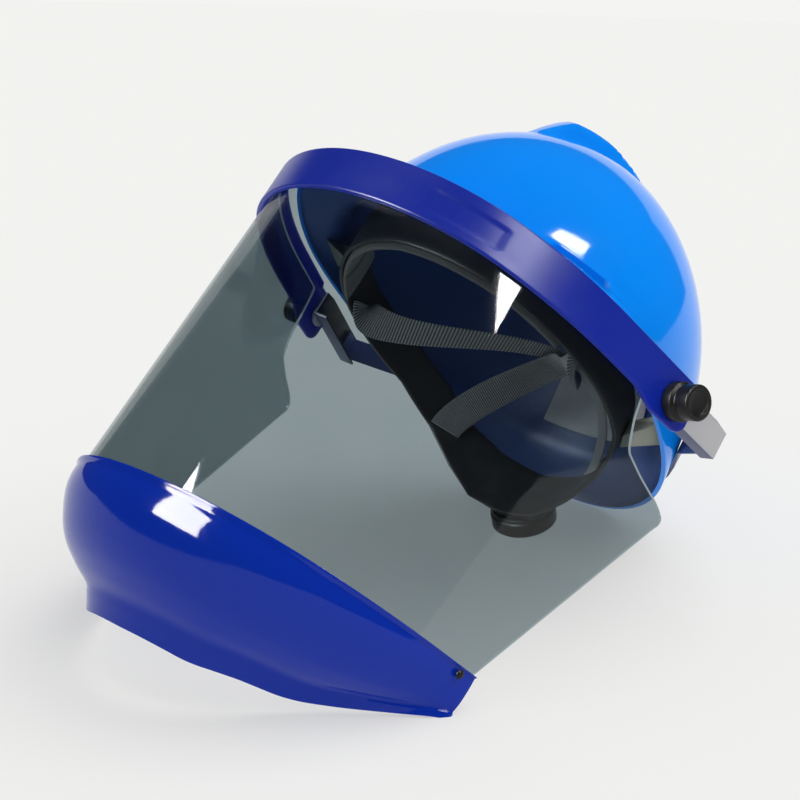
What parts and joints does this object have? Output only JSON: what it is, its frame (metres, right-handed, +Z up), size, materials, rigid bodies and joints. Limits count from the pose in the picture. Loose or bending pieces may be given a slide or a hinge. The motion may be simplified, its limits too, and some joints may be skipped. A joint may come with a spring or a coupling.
{
  "type": "arc flash face shield with helmet",
  "caption": "Cap-style helmet with a hinged smoke face shield and chin guard, lying on its back on the guard's tips and the ratchet knob.",
  "frame": {"origin": "centre of the footprint's bounding box, on the floor", "axes": "+X towards the wearer's left; +Z up from the floor; the chin guard is at -Y and the helmet's crown at +Y, with the wearer's face looking up and towards -Y"},
  "size_m": [0.284, 0.3811, 0.2328],
  "materials": {
    "azure_shell": "glossy azure moulded plastic",
    "cobalt_plastic": "glossy deep blue moulded plastic",
    "smoke_window": "clear smoke-tinted sheet",
    "black_plastic": "satin black",
    "charcoal_plastic": "satin charcoal",
    "charcoal_webbing": "ribbed woven webbing",
    "grey_metal": "plain light grey sheet",
    "grey_tab": "satin grey",
    "pad_foam": "soft brow pad",
    "label_paper": "bare printed-label stock, left blank"
  },
  "bodies": {
    "helmet": {"brow_pad": "pad_foam", "crown_strap_a": "charcoal_webbing", "crown_strap_b": "charcoal_webbing", "hanger_front_left": "grey_tab", "hanger_front_right": "grey_tab", "hanger_rear_left": "grey_tab", "hanger_rear_right": "grey_tab", "headband": "charcoal_plastic", "helmet_shell": "azure_shell", "hinge_boss_left": "grey_metal", "hinge_boss_right": "grey_metal", "label_sheet": "label_paper", "ratchet_housing": "black_plastic", "rear_strap": "grey_metal", "side_bracket_left": "grey_metal", "side_bracket_right": "grey_metal"},
    "visor": {"window": "smoke_window", "visor_band": "cobalt_plastic", "chin_guard": "cobalt_plastic", "guard_rivet_left": "black_plastic", "guard_rivet_right": "black_plastic"},
    "thumb_knob_left": {"thumb_knob_left": "black_plastic"},
    "thumb_knob_right": {"thumb_knob_right": "black_plastic"},
    "ratchet_knob": {"ratchet_knob": "black_plastic"}
  },
  "joints": [
    {"name": "visor_lift", "type": "hinge", "parent": "helmet", "child": "visor", "pos_m": [0, 0.04886, 0.1131], "axis": [-1, 0, 0], "range_deg": [0, 55]},
    {"name": "knob_turn_left", "type": "hinge", "parent": "visor", "child": "thumb_knob_left", "pos_m": [0.12214, 0.04886, 0.1131], "axis": [0.9583, -0.2052, 0.1988], "continuous": true},
    {"name": "knob_turn_right", "type": "hinge", "parent": "visor", "child": "thumb_knob_right", "pos_m": [-0.12214, 0.04886, 0.1131], "axis": [-0.9583, -0.2052, 0.1988], "continuous": true},
    {"name": "ratchet_turn", "type": "hinge", "parent": "helmet", "child": "ratchet_knob", "pos_m": [0, 0.09932, 0.01022], "axis": [0, 0.2915, -0.9566], "continuous": true}
  ]
}
